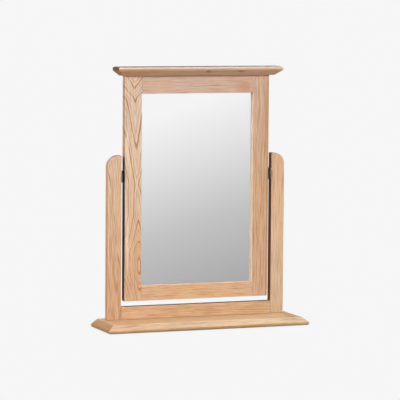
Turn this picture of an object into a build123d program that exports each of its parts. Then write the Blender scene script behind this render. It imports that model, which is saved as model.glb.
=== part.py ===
from build123d import *

import os
from math import acos, atan2, cos, hypot, sin

# Dressing-table mirror in oak. A moulded base board carries two posts and a cross rail, and a framed
# mirror with a cornice tilts between the posts on two friction fittings.
# Millimetres. The origin is on the floor under the middle of the base board.
# +X is to the right of someone who looks into the mirror, +Y to the back and +Z up.

# Base board
base_width = 523.0
base_depth = 137.0
base_thickness = 20.0
base_nose_radius = 5.5
base_slope_run = 15.5
base_crest_radius = 5.0

# Posts and cross rail, flush at the front and the back
post_width = 34.5
post_depth = 20.0
post_height = 402.0
post_crown_radius = 27.5
post_back_margin = 19.0
post_end_margin = 29.5
rail_height = 31.5

# Mirror frame
frame_side_gap = 8.5
frame_lift = 13.5
frame_height = 551.0
frame_depth = 20.0
stile_width = 43.0
top_rail_width = 44.0
bottom_rail_width = 37.0
tenon_length = 20.0
tenon_thickness = 6.0
tenon_setback = 4.0
tenon_shoulder = 6.0

# Cornice
cornice_thickness = 22.0
cornice_front_overhang = 28.5
cornice_side_overhang = 26.0
cornice_nose_radius = 6.0
cornice_slope_run = 17.0
cornice_crest_radius = 3.0

# Softened edges
arris_radius = 1.5
sight_arris_radius = 0.8

# Mirror glass and back panel, each in its own step of the frame's rebate
lip_depth = 8.0
glass_thickness = 4.0
glass_lap = 7.0
glass_edge_play = 1.0
glass_back_play = 0.3
glass_seam = 0.5
panel_thickness = 4.0
panel_lap = 16.0
panel_edge_play = 0.5

# Pivot fittings
pivot_below_post_top = 51.5
plate_height = 28.0
plate_depth = 17.0
plate_thickness = 2.5
plate_corner_radius = 2.0
plate_edge_radius = 0.6
boss_diameter = 11.0
boss_height = 1.0
pin_diameter = 5.0
pin_head_diameter = 9.0
pin_head_thickness = 1.5
pin_recess_diameter = 11.0
pin_recess_depth = 4.5
running_gap = 0.1
spring_diameter = 9.5
spring_thickness = 0.4
spring_rise = 0.6

# Screws of the fittings, with raised heads
plate_screw_offset = 8.5
plate_screw_head = 5.4
plate_screw_crown = 1.0
plate_screw_shank = 3.0
plate_screw_length = 16.0

# Screws of the back panel, with domed heads
panel_screw_head = 6.0
panel_screw_crown = 1.5
panel_screw_shank = 2.8
panel_screw_length = 10.0
panel_screws_tall = 3
panel_screws_wide = 2

# Screws up through the base board, with flat heads
base_screw_head = 9.0
base_screw_shank = 4.5
base_screw_length = 45.0
base_screw_recess = 1.0
post_screw_inset = 9.0
rail_screw_spacing = 130.0

# Dowels
dowel_diameter = 8.0
dowel_length = 30.0
dowel_chamfer = 1.0
rail_dowel_spacing = 16.0
cornice_dowel_bite = 12.0
cornice_dowel_inset = 10.0
cornice_dowel_spacing = 140.0

# Fits
joint_clearance = 0.05
hole_relief = 1.0
overrun = 5.0

# Places that follow from the sizes above
base_back = base_depth / 2
post_back = base_back - post_back_margin
post_middle = post_back - post_depth / 2
post_front = post_back - post_depth
post_top = base_thickness + post_height
post_outer = base_width / 2 - post_end_margin
post_inner = post_outer - post_width
rail_top = base_thickness + rail_height
frame_half_width = post_inner - frame_side_gap
frame_front = post_front
frame_back = frame_front + frame_depth
frame_bottom = rail_top + frame_lift
frame_top = frame_bottom + frame_height
sight_half_width = frame_half_width - stile_width
sight_bottom = frame_bottom + bottom_rail_width
sight_top = frame_top - top_rail_width
glass_rebate = glass_lap + glass_edge_play
glass_front = frame_front + lip_depth
panel_front = glass_front + glass_thickness + glass_back_play
panel_back = panel_front + panel_thickness
panel_rebate = panel_lap + panel_edge_play
pivot_height = post_top - pivot_below_post_top
LEFT = -1
RIGHT = 1


def block(low, high):
    """Box between two opposite corners, given in any order."""
    corner = Vector(*low)
    span = Vector(*high) - corner
    middle = corner + span / 2
    return Pos(middle) * Box(abs(span.X), abs(span.Y), abs(span.Z))


def facing(origin, direction):
    """Plane at origin whose Z points along direction and whose X points up where it can."""
    upright = (0, 0, 1) if direction[2] == 0 else (1, 0, 0)
    return Plane(origin=origin, x_dir=upright, z_dir=direction)


def edge_curve(nose_radius, slope_run, thickness):
    """Corner points of the moulded edge, measured inward from the nose and up from the flat beside it.

    A round leaves the flat, passes the nose and runs tangent into a slope, which ends at the full
    thickness, slope_run in from the nose.
    """
    reach = slope_run - nose_radius
    rise = thickness - nose_radius
    turn = atan2(rise, reach) + acos(nose_radius / hypot(reach, rise))
    foot = (nose_radius, 0)
    nose = (0, nose_radius)
    tangent = (nose_radius + nose_radius * cos(turn), nose_radius + nose_radius * sin(turn))
    crest = (slope_run, thickness)
    return foot, nose, tangent, crest


def rounded(section, corners, radius):
    """Flat section with some of its corners rounded."""
    return fillet([section.vertices().sort_by_distance(corner)[0] for corner in corners], radius)


def moulded_board(width, depth, thickness, nose_radius, slope_run, crest_radius):
    """Board moulded along its front and both ends, with mitred corners and a flat back.

    The front's section is carried across the width and the ends' section along the depth, and what the
    two share has the mitres where they meet. The nose is at the underside, and the slope above it ends
    in a soft crest.
    """
    edge = edge_curve(nose_radius, slope_run, thickness)
    front = [(u - depth / 2, v) for u, v in edge]
    left = [(u - width / 2, v) for u, v in edge]
    right = [(width / 2 - u, v) for u, v in edge]
    back_top = (depth / 2, thickness)
    back_foot = (depth / 2, 0)
    front_outline = ThreePointArc(*front[:3]) + Polyline(*front[2:], back_top, back_foot, front[0])
    ends_outline = ThreePointArc(*left[:3]) + Polyline(*left[2:], right[3], right[2])
    ends_outline += ThreePointArc(*right[2::-1]) + Line(right[0], left[0])
    front_section = rounded(make_face(front_outline), front[3:], crest_radius)
    ends_section = rounded(make_face(ends_outline), left[3:] + right[3:], crest_radius)
    across = extrude(Plane.YZ * front_section, width / 2 + overrun, both=True)
    along = extrude(Plane.XZ * ends_section, depth / 2 + overrun, both=True)
    return across & along


def rod(diameter, length):
    """Round bar that stands on zero height."""
    return Cylinder(diameter / 2, length, align=(Align.CENTER, Align.CENTER, Align.MIN))


def screw(head_top, head_diameter, sink, shank_diameter, length):
    """Wood screw that points down, with the rim of its head at zero height, turned from a half outline.

    head_top is the outline from the middle of the head to its rim, and sink is how deep the cone under
    the rim goes.
    """
    rim = (head_diameter / 2, 0)
    neck = (shank_diameter / 2, -sink)
    waist = (shank_diameter / 2, shank_diameter - length)
    tip = (0, -length)
    outline = head_top + Polyline(rim, neck, waist, tip, head_top @ 0)
    return revolve(make_face(Plane.XZ * outline), Axis.Z)


def base_screw(clearance=0):
    """Screw with a flat countersunk head, or the hole for it with the head's recess below the rim."""
    head = base_screw_head + 2 * clearance
    shank = base_screw_shank + 2 * clearance
    sink = (base_screw_head - base_screw_shank) / 2
    body = screw(Line((0, 0), (head / 2, 0)), head, sink, shank, base_screw_length + clearance)
    if clearance:
        body += rod(head, base_screw_recess + overrun)
    return body


def raised_screw(clearance=0):
    """Screw of a pivot plate: a countersunk head with a raised crown."""
    head = plate_screw_head + 2 * clearance
    shank = plate_screw_shank + 2 * clearance
    sink = (plate_screw_head - plate_screw_shank) / 2
    crown = TangentArc((0, plate_screw_crown), (head / 2, 0), tangent=(1, 0))
    return screw(crown, head, sink, shank, plate_screw_length + clearance)


def domed_screw(clearance=0):
    """Screw of the back panel: a domed head that sits flat on the panel."""
    head = panel_screw_head + 2 * clearance
    shank = panel_screw_shank + 2 * clearance
    crown = TangentArc((0, panel_screw_crown), (head / 2, 0), tangent=(1, 0))
    return screw(crown, head, 0, shank, panel_screw_length + clearance)


def dowel():
    """Round dowel with chamfered ends, lying along Z from zero up."""
    bar = rod(dowel_diameter, dowel_length)
    return chamfer(bar.edges().filter_by(GeomType.CIRCLE), dowel_chamfer)


def dowel_hole():
    """Hole for a dowel, a little longer than the dowel at both ends for glue."""
    hole = rod(dowel_diameter + 2 * joint_clearance, dowel_length + 2 * hole_relief)
    return Pos(0, 0, -hole_relief) * hole


def base_screw_places():
    """Seats of the base screws: one under each post and three under the cross rail, pointing up."""
    post_x = post_outer - post_screw_inset
    across = (-post_x, -rail_screw_spacing, 0, rail_screw_spacing, post_x)
    return [facing((x, post_middle, base_screw_recess), (0, 0, -1)) for x in across]


def rail_dowel_places(side):
    """Where the dowels start inside one end of the cross rail, running out into the post."""
    start = side * (post_inner - dowel_length / 2)
    middle = base_thickness + rail_height / 2
    heights = (middle - rail_dowel_spacing / 2, middle + rail_dowel_spacing / 2)
    return [facing((start, post_middle, z), (side, 0, 0)) for z in heights]


def cornice_dowel_places():
    """Where the dowels start inside the frame, running up into the cornice."""
    start = frame_top + cornice_dowel_bite - dowel_length
    end = frame_half_width - cornice_dowel_inset
    across = (-end, -cornice_dowel_spacing / 2, cornice_dowel_spacing / 2, end)
    return [Pos(x, frame_front + frame_depth / 2, start) for x in across]


def panel_screw_places():
    """Seats of the back panel's screws, on the land between the glass and the edge of the panel."""
    inset = (glass_rebate + panel_lap) / 2
    edge_x = sight_half_width + inset
    low = sight_bottom - inset
    high = sight_top + inset
    tall_step = (high - low) / (panel_screws_tall + 1)
    wide_step = 2 * edge_x / (panel_screws_wide + 1)
    places = [(x, low + tall_step * (i + 1)) for x in (-edge_x, edge_x) for i in range(panel_screws_tall)]
    places += [(wide_step * (i + 1) - edge_x, z) for z in (low, high) for i in range(panel_screws_wide)]
    return [facing((x, panel_back, z), (0, 1, 0)) for x, z in places]


def post_seat(side):
    """Plane on a post's inner face at the pivot, facing the frame."""
    return facing((side * post_inner, post_middle, pivot_height), (-side, 0, 0))


def frame_seat(side):
    """Plane on the frame's side at the pivot, facing the post."""
    return facing((side * frame_half_width, post_middle, pivot_height), (side, 0, 0))


def plate_screw_places(seat):
    """Seats of a plate's two screws, above and below the pivot."""
    return [seat * Pos(offset, 0, plate_thickness) for offset in (-plate_screw_offset, plate_screw_offset)]


def pin_recess(seat):
    """Blind hole in the wood behind a plate that takes the head of the pin."""
    return seat * Cylinder(pin_recess_diameter / 2, 2 * pin_recess_depth)


def base_board():
    edge = (base_nose_radius, base_slope_run, base_crest_radius)
    board = moulded_board(base_width, base_depth, base_thickness, *edge)
    for place in base_screw_places():
        board -= place * base_screw(joint_clearance)
    return board


def post(side):
    """Post with a quarter-round crown at its outer top corner and softened edges all round."""
    inner = side * post_inner
    outer = side * post_outer
    crown_foot = (outer, post_top - post_crown_radius)
    crown_end = (outer - side * post_crown_radius, post_top)
    corners = (crown_end, (inner, post_top), (inner, base_thickness), (outer, base_thickness), crown_foot)
    outline = TangentArc(crown_foot, crown_end, tangent=(0, 1)) + Polyline(*corners)
    timber = Pos(0, post_middle, 0) * extrude(make_face(Plane.XZ * outline), post_depth / 2, both=True)
    faces = timber.faces().sort_by(Axis.Y)
    timber = fillet(faces[0].edges() + faces[-1].edges(), arris_radius)
    for place in rail_dowel_places(side):
        timber -= place * dowel_hole()
    for place in base_screw_places():
        timber -= place * base_screw(joint_clearance)
    for place in plate_screw_places(post_seat(side)):
        timber -= place * raised_screw(joint_clearance)
    return timber - pin_recess(post_seat(side))


def cross_rail():
    timber = block((-post_inner, post_front, base_thickness), (post_inner, post_back, rail_top))
    timber = fillet(timber.edges().filter_by(Axis.X), arris_radius)
    for place in rail_dowel_places(LEFT) + rail_dowel_places(RIGHT):
        timber -= place * dowel_hole()
    for place in base_screw_places():
        timber -= place * base_screw(joint_clearance)
    return timber


def rebates():
    """Both steps of the rebate behind the sight opening: the inner for the glass, the outer for the panel."""
    glass_x = sight_half_width + glass_rebate
    panel_x = sight_half_width + panel_rebate
    inner = block(
        (-glass_x, glass_front, sight_bottom - glass_rebate),
        (glass_x, frame_back, sight_top + glass_rebate),
    )
    outer = block(
        (-panel_x, panel_front, sight_bottom - panel_rebate),
        (panel_x, frame_back + overrun, sight_top + panel_rebate),
    )
    return inner + outer


def tenon(side, low, high, clearance=0, relief=0):
    """Tenon on a frame rail's end between two heights, or with a clearance and a relief its mortise."""
    start = side * (sight_half_width - clearance)
    end = side * (sight_half_width + tenon_length + relief)
    front = frame_front + tenon_setback
    back = front + tenon_thickness
    return block((start, front - clearance, low - clearance), (end, back + clearance, high + clearance))


def top_tenon(side, *play):
    return tenon(side, sight_top + glass_rebate + tenon_shoulder, frame_top - tenon_shoulder, *play)


def bottom_tenon(side, *play):
    return tenon(side, frame_bottom + tenon_shoulder, sight_bottom - glass_rebate - tenon_shoulder, *play)


def with_frame_holes(timber):
    """Frame member with its share of the rebate, dowel holes and panel screw holes."""
    timber -= rebates()
    for place in cornice_dowel_places():
        timber -= place * dowel_hole()
    for place in panel_screw_places():
        timber -= place * domed_screw(joint_clearance)
    return timber


def stile(side):
    """Upright of the mirror frame, the full height of the frame, softened at its outer side and its foot."""
    inner = side * sight_half_width
    outer = side * frame_half_width
    timber = block((inner, frame_front, frame_bottom), (outer, frame_back, frame_top))
    uprights = timber.edges().filter_by(Axis.Z)
    foot_edges = timber.faces().sort_by(Axis.Z)[0].edges()
    soft_edges = uprights.sort_by_distance((outer, post_middle, pivot_height))[:2]
    soft_edges += foot_edges.sort_by_distance((outer, post_middle, frame_bottom))[:3]
    timber = fillet(soft_edges, arris_radius)
    uprights = timber.edges().filter_by(Axis.Z)
    timber = fillet(uprights.sort_by_distance((inner, frame_front, pivot_height))[0], sight_arris_radius)
    timber = with_frame_holes(timber)
    timber -= top_tenon(side, joint_clearance, hole_relief)
    timber -= bottom_tenon(side, joint_clearance, hole_relief)
    for place in plate_screw_places(frame_seat(side)):
        timber -= place * raised_screw(joint_clearance)
    return timber - pin_recess(frame_seat(side))


def top_rail():
    low = (-sight_half_width, frame_front, sight_top)
    high = (sight_half_width, frame_back, frame_top)
    timber = block(low, high)
    low_edges = timber.edges().filter_by(Axis.X).sort_by(Axis.Z)[:2]
    timber = fillet(low_edges.sort_by(Axis.Y)[:1], sight_arris_radius)
    return with_frame_holes(timber + top_tenon(LEFT) + top_tenon(RIGHT))


def bottom_rail():
    low = (-sight_half_width, frame_front, frame_bottom)
    high = (sight_half_width, frame_back, sight_bottom)
    timber = block(low, high)
    long_edges = timber.edges().filter_by(Axis.X).sort_by(Axis.Z)
    timber = fillet(long_edges[:2], arris_radius)
    top_edges = timber.edges().filter_by(Axis.X).sort_by(Axis.Z)[-2:]
    timber = fillet(top_edges.sort_by(Axis.Y)[:1], sight_arris_radius)
    return with_frame_holes(timber + bottom_tenon(LEFT) + bottom_tenon(RIGHT))


def cornice():
    """The base's kind of moulding upside down: nose on top, slope under it, flush with the frame's back."""
    width = 2 * (frame_half_width + cornice_side_overhang)
    depth = frame_depth + cornice_front_overhang
    edge = (cornice_nose_radius, cornice_slope_run, cornice_crest_radius)
    top_middle = (0, frame_back - depth / 2, frame_top + cornice_thickness)
    upside_down = Plane(origin=top_middle, x_dir=(-1, 0, 0), z_dir=(0, 0, -1))
    board = upside_down * moulded_board(width, depth, cornice_thickness, *edge)
    for place in cornice_dowel_places():
        board -= place * dowel_hole()
    return board


def mirror_glass():
    """Glass that stands on the bottom of its rebate, with seamed edges."""
    half_width = sight_half_width + glass_lap
    bottom = sight_bottom - glass_rebate
    top = sight_top + glass_lap - glass_edge_play
    pane = block((-half_width, glass_front, bottom), (half_width, glass_front + glass_thickness, top))
    return chamfer(pane.edges(), glass_seam)


def back_panel():
    half_width = sight_half_width + panel_lap
    panel = block(
        (-half_width, panel_front, sight_bottom - panel_lap),
        (half_width, panel_back, sight_top + panel_lap),
    )
    for place in panel_screw_places():
        panel -= place * domed_screw(joint_clearance)
    return panel


def pivot_plate():
    """Plate with softened corners and a raised boss: its seat is at zero height and its boss points up."""
    outline = RectangleRounded(plate_height, plate_depth, plate_corner_radius)
    plate = extrude(outline, plate_thickness)
    plate = fillet(plate.faces().sort_by(Axis.Z)[-1].edges(), plate_edge_radius)
    rise = plate_thickness + boss_height
    plate += rod(boss_diameter, rise)
    plate -= Cylinder(pin_diameter / 2 + joint_clearance, 2 * rise + overrun)
    for offset in (-plate_screw_offset, plate_screw_offset):
        plate -= Pos(offset, 0, plate_thickness) * raised_screw(joint_clearance)
    return plate


def pivot_pin():
    """Pin with a head at each end: zero height is the post's face, and up is towards the frame."""
    shaft_end = frame_side_gap + spring_thickness + spring_rise + running_gap
    shaft = rod(pin_diameter, shaft_end)
    head = rod(pin_head_diameter, pin_head_thickness)
    return shaft + Pos(0, 0, -pin_head_thickness) * head + Pos(0, 0, shaft_end) * head


def friction_washer():
    """Flat washer on the boss of the frame's plate, a running gap short of the post plate's boss."""
    stack = plate_thickness + boss_height
    thickness = frame_side_gap - 2 * stack - running_gap
    bore = pin_diameter / 2 + joint_clearance
    ring = Cylinder(boss_diameter / 2, thickness) - Cylinder(bore, thickness + overrun)
    return Pos(0, 0, stack + thickness / 2) * ring


def spring_washer():
    """Dished washer in the stile's recess: its rim on the frame's plate, its middle under the pin's head."""
    bore = pin_diameter / 2 + joint_clearance
    rim = spring_diameter / 2
    outline = Polyline(
        (rim, 0),
        (bore, -spring_rise),
        (bore, -spring_rise - spring_thickness),
        (rim, -spring_thickness),
        (rim, 0),
    )
    return revolve(make_face(Plane.XZ * outline), Axis.Z)


def group(shape, places):
    """Copies of one piece at several places, kept as separate solids."""
    return Compound(children=[place * shape for place in places])


def fitting(name, side):
    """Pieces of the pivot fitting on one side, by node name."""
    on_post = post_seat(side)
    on_frame = frame_seat(side)
    return {
        f"{name}_post_plate": on_post * pivot_plate(),
        f"{name}_frame_plate": on_frame * pivot_plate(),
        f"{name}_post_plate_screws": group(raised_screw(), plate_screw_places(on_post)),
        f"{name}_frame_plate_screws": group(raised_screw(), plate_screw_places(on_frame)),
        f"{name}_pivot_pin": on_post * pivot_pin(),
        f"{name}_friction_washer": on_frame * friction_washer(),
        f"{name}_spring_washer": on_frame * spring_washer(),
    }


def pieces():
    """Every piece of the mirror, by node name."""
    return {
        "base_board": base_board(),
        "left_post": post(LEFT),
        "right_post": post(RIGHT),
        "cross_rail": cross_rail(),
        "left_rail_dowels": group(dowel(), rail_dowel_places(LEFT)),
        "right_rail_dowels": group(dowel(), rail_dowel_places(RIGHT)),
        "base_screws": group(base_screw(), base_screw_places()),
        "left_stile": stile(LEFT),
        "right_stile": stile(RIGHT),
        "top_rail": top_rail(),
        "bottom_rail": bottom_rail(),
        "cornice": cornice(),
        "cornice_dowels": group(dowel(), cornice_dowel_places()),
        "mirror_glass": mirror_glass(),
        "back_panel": back_panel(),
        "back_panel_screws": group(domed_screw(), panel_screw_places()),
        **fitting("left", LEFT),
        **fitting("right", RIGHT),
    }


os.makedirs("parts", exist_ok=True)
for node, shape in pieces().items():
    export_step(shape, f"parts/{node}.step")
    print(node, round(shape.volume), "cubic mm")
print("pivot axis at y", post_middle, "z", pivot_height)
print("overall", base_width, "x", base_depth, "x", frame_top + cornice_thickness)
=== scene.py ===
# %% [markdown]
# # A dressing-table mirror in oak
# The mirror stands on a moulded base board. Two posts carry a framed looking glass between them, and
# the frame tilts on two small friction fittings. The solids come from the CAD model with real sizes, so
# this lesson is about looks: oak that is grown and not painted on, dark bronze fittings, silvered
# glass, real screws and soft studio light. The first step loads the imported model. Everything after it
# works in metres in the model's own frame.

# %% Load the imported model
from math import cos, pi, radians, sin

import bpy
import numpy as np
from mathutils import Matrix, Vector


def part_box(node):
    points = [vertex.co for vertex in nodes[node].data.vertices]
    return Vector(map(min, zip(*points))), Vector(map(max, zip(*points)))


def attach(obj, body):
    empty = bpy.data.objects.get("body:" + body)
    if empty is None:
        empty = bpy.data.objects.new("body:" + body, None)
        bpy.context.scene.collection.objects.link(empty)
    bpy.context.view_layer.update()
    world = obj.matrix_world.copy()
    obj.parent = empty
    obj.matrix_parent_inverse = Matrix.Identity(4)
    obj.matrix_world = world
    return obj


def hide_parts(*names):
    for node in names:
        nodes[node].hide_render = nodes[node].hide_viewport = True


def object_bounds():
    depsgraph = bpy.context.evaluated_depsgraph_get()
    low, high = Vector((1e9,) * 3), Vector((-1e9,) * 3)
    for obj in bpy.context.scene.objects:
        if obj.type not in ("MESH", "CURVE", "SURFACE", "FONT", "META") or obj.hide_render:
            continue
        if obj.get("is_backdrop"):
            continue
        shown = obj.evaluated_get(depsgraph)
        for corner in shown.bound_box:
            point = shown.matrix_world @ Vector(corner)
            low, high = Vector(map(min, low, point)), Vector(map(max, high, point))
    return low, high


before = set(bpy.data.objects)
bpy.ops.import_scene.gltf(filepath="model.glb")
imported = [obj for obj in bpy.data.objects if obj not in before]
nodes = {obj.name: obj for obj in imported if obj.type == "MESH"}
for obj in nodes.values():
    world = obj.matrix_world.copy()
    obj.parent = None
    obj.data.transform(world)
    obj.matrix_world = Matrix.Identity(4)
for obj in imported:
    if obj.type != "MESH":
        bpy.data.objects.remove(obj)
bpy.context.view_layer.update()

# %% [markdown]
# ## The camera
# A picture shows where its camera stood: lines that are parallel on the object close in on each other,
# and how fast they do so tells the distance. A pinhole camera was fitted to corners measured on the
# picture. It stands about six metres away, to the left and a little above, with a long lens, so the
# mirror is drawn almost without perspective. The camera's matrix is built from its three directions,
# which leaves no angle to guess.

# %% Place the camera
CAMERA_PLACE = Vector((-2.1508, -5.5445, 0.8462))
CAMERA_YAW = radians(21.164)
CAMERA_PITCH = radians(-5.136)
CAMERA_ROLL = radians(0.42)
FOCAL_PIXELS = 2437.0
IMAGE_PIXELS = 400
SENSOR_WIDTH = 36.0

ahead = Vector((sin(CAMERA_YAW) * cos(CAMERA_PITCH),
                cos(CAMERA_YAW) * cos(CAMERA_PITCH),
                sin(CAMERA_PITCH)))
level = Vector((cos(CAMERA_YAW), -sin(CAMERA_YAW), 0))
above = level.cross(ahead)
right = level * cos(CAMERA_ROLL) + above * sin(CAMERA_ROLL)
up = above * cos(CAMERA_ROLL) - level * sin(CAMERA_ROLL)

lens = bpy.data.cameras.new("picture_camera")
lens.sensor_width = SENSOR_WIDTH
lens.lens = FOCAL_PIXELS / IMAGE_PIXELS * SENSOR_WIDTH
lens.clip_end = 200
camera = bpy.data.objects.new("picture_camera", lens)
camera.matrix_world = Matrix((right, up, -ahead)).transposed().to_4x4()
camera.location = CAMERA_PLACE
bpy.context.scene.collection.objects.link(camera)
bpy.context.scene.camera = camera
print("lens in mm:", round(lens.lens, 1))

# %% [markdown]
# ## Small helpers
# Colours are easiest to write as the hex values that a paint program shows, but a renderer adds light
# in linear values, so one function turns the first into the second. Another adds one shader node, sets
# its properties, and fills or links its sockets. The last two start a material and hand it to CAD
# nodes. Every finish below is built with these four.

# %% Colour, node and material helpers
MM = 1000.0
PAGE_WHITE = "#f6f6f6"


def linear(hex_colour):
    """sRGB hex to linear RGBA: each channel is undone by the sRGB curve."""
    channel = np.array([int(hex_colour[i:i + 2], 16) for i in (1, 3, 5)]) / 255
    low_part = channel / 12.92
    curve = ((channel + 0.055) / 1.055) ** 2.4
    return (*np.where(channel <= 0.04045, low_part, curve).tolist(), 1.0)


def add(tree, kind, sockets=(), **settings):
    """Adds a node: settings are its properties, sockets maps an input to a value or an output."""
    node = tree.nodes.new("ShaderNode" + kind)
    for key, value in settings.items():
        setattr(node, key, value)
    for key, value in dict(sockets).items():
        if isinstance(value, bpy.types.NodeSocket):
            tree.links.new(value, node.inputs[key])
        else:
            node.inputs[key].default_value = value
    return node


def new_material(name, **sockets):
    """A material, its node tree and its main shader, with the sockets that are the same all over it."""
    material = bpy.data.materials.new(name)
    material.use_nodes = True
    shader = material.node_tree.nodes["Principled BSDF"]
    for key, value in sockets.items():
        shader.inputs[key.replace("_", " ").title()].default_value = value
    return material, material.node_tree, shader


def give(material, *parts):
    """Gives CAD nodes one material each over all their faces."""
    for part in parts:
        nodes[part].data.materials.clear()
        nodes[part].data.materials.append(material)
    print(material.name, "on", ", ".join(parts))


print("page white in linear light:", round(linear(PAGE_WHITE)[0], 4))

# %% [markdown]
# ## Floor and studio
# The picture is taken on a pale floor that melts into a pale background. A floor that glows with the
# background's own white does that at any angle, and an occlusion node lets it darken softly where the
# base stands on it. The floor serves the camera only, so it adds no light of its own. From below it is
# clear, so that the underside can be looked at.
#
# The floor is a disc, and so is a slice of a screw further down. One function therefore makes a mesh
# from any grid of rows by columns that closes on itself.

# %% A mesh from round grids
def grid_mesh(name, points, caps=()):
    """Mesh of round grids, copies by rows by columns by xyz.

    Each cell is one quad and the last column joins the first. caps holds points, copies by xyz, that close
    the first row and then the last row with a fan of triangles.
    """
    copies, rows, columns = points.shape[:3]
    index = np.arange(rows * columns).reshape(rows, columns)
    index = np.concatenate([index, index[:, :1]], axis=1)
    cells = [index[:-1, :-1], index[1:, :-1], index[1:, 1:], index[:-1, 1:]]
    step = rows * columns * np.arange(copies)[:, None, None]
    faces = (np.stack(cells, axis=-1).reshape(1, -1, 4) + step).reshape(-1, 4).tolist()
    vertices = [points.reshape(-1, 3)]
    for number, (cap, row) in enumerate(zip(caps, (index[0], index[-1, ::-1]))):
        rim = np.stack([row[:-1], row[1:]], axis=-1)[None] + step
        pole = points[..., 0].size + number * copies + np.arange(copies)
        fan = np.concatenate([rim, np.broadcast_to(pole[:, None, None], rim.shape[:2] + (1,))], axis=-1)
        faces += fan.reshape(-1, 3).tolist()
        vertices.append(cap)
    mesh = bpy.data.meshes.new(name)
    mesh.from_pydata(np.concatenate(vertices), [], faces)
    mesh.update()
    return mesh


# %% Floor
FLOOR_RADIUS = 30.0
FLOOR_DROP = 0.0003
FLOOR_RINGS = 24
FLOOR_SPOKES = 96
FLOOR_HUB = 0.02  # root of the share of the radius where the rings start

radius = np.linspace(FLOOR_HUB, 1, FLOOR_RINGS)[:, None] ** 2 * FLOOR_RADIUS
angle = np.linspace(0, 2 * pi, FLOOR_SPOKES, endpoint=False)[None]
flat = -FLOOR_DROP + 0 * radius * angle
disc = np.stack([radius * np.cos(angle), radius * np.sin(angle), flat], axis=-1)
hub = np.array([[0, 0, -FLOOR_DROP]])
floor = bpy.data.objects.new("floor", grid_mesh("floor", disc[None], [hub]))
bpy.context.scene.collection.objects.link(floor)
floor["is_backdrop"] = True
for ray in ("visible_diffuse", "visible_glossy", "visible_transmission", "visible_shadow"):
    setattr(floor, ray, False)
print("floor radius in metres:", FLOOR_RADIUS)

# %% Paper of the floor
SHADE_REACH = 0.05    # metres over which the base darkens the floor
SHADE_FULL = 0.3      # openness at which the shade is deepest
SHADE_DEEPEST = 0.92

page = bpy.data.materials.new("pale_paper_sweep")
page.use_nodes = True
tree = page.node_tree
tree.nodes.clear()
shade = add(tree, "AmbientOcclusion", {"Distance": SHADE_REACH}, samples=8)
tone = add(tree, "MapRange", {"Value": shade.outputs["AO"], "From Min": SHADE_FULL,
                              "To Min": SHADE_DEEPEST})
glow = add(tree, "Emission", {"Color": linear(PAGE_WHITE), "Strength": tone.outputs["Result"]})
under = add(tree, "NewGeometry").outputs["Backfacing"]
clear = add(tree, "BsdfTransparent")
one_sided = add(tree, "MixShader", {0: under, 1: glow.outputs[0], 2: clear.outputs[0]})
add(tree, "OutputMaterial", {"Surface": one_sided.outputs[0]})
floor.data.materials.append(page)
print("floor keeps", SHADE_DEEPEST, "of its white under the base")

# %% [markdown]
# A looking glass shows the room, so the room matters. The world is white for the camera. For mirrored
# rays it is a studio that falls from white to grey as the ray points lower or further to the side,
# which draws the slanting fade on the glass. Further down it turns pale again, as the floor is. For the
# light on the wood it is a weak fill, a little stronger from below, where a pale floor throws light
# back.

# %% Studio for camera, mirror and fill
MIRROR_START = 0.1861  # where the fade starts: how low a mirrored ray points, plus its lean to the side
MIRROR_SIDE = 0.381    # what a lean to the side counts
MIRROR_SPAN = 0.5      # how much further down the fade ends, in pale floor
MIRROR_FADE = ((0.0, "#f8f8f8"), (0.02, "#e7e7e7"), (0.049, "#c6c6c6"), (0.075, "#b0b0b0"),
               (0.12, "#9c9c9c"), (0.24, "#a6a6a6"), (0.5, "#f4f4f4"))
FILL = 0.06
FLOOR_BOUNCE = (0.34, 0.3, 0.25)
BOUNCE_START = 0.1     # height of a ray's direction where the floor's light sets in
BOUNCE_FULL = -0.3

world = bpy.data.worlds.new("pale_studio")
bpy.context.scene.world = world
world.use_nodes = True
tree = world.node_tree
tree.nodes.clear()
rays = add(tree, "LightPath")
way = add(tree, "SeparateXYZ", {0: add(tree, "TexCoord").outputs["Generated"]})
aside = add(tree, "Math", {0: way.outputs["X"]}, operation="ABSOLUTE")
lowness = add(tree, "Math", {0: aside.outputs[0], 1: MIRROR_SIDE, 2: -MIRROR_START},
              operation="MULTIPLY_ADD")
lowness = add(tree, "Math", {0: lowness.outputs[0], 1: way.outputs["Z"]}, operation="SUBTRACT")
lowness = add(tree, "MapRange", {"Value": lowness.outputs[0], "From Max": MIRROR_SPAN})
fade = add(tree, "ValToRGB", {0: lowness.outputs[0]})
ramp = fade.color_ramp.elements
for place, colour in MIRROR_FADE[2:]:
    ramp.new(place / MIRROR_SPAN)
for stop, (place, colour) in zip(ramp, MIRROR_FADE):
    stop.position = place / MIRROR_SPAN
    stop.color = linear(colour)
downward = add(tree, "MapRange", {"Value": way.outputs["Z"], "From Min": BOUNCE_START,
                                  "From Max": BOUNCE_FULL})
bounce = add(tree, "Mix", {0: downward.outputs[0], 6: (FILL, FILL, FILL, 1), 7: (*FLOOR_BOUNCE, 1)},
             data_type="RGBA")
seen = add(tree, "Background", {"Color": linear(PAGE_WHITE)})
mirrored = add(tree, "Background", {"Color": fade.outputs["Color"]})
fill = add(tree, "Background", {"Color": bounce.outputs[2]})
lit = add(tree, "MixShader", {0: rays.outputs["Is Singular Ray"], 1: fill.outputs[0],
                              2: mirrored.outputs[0]})
lit = add(tree, "MixShader", {0: rays.outputs["Is Camera Ray"], 1: lit.outputs[0],
                              2: seen.outputs[0]})
add(tree, "OutputWorld", {"Surface": lit.outputs[0]})
print("fill light from above and below:", FILL, FLOOR_BOUNCE)

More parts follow.
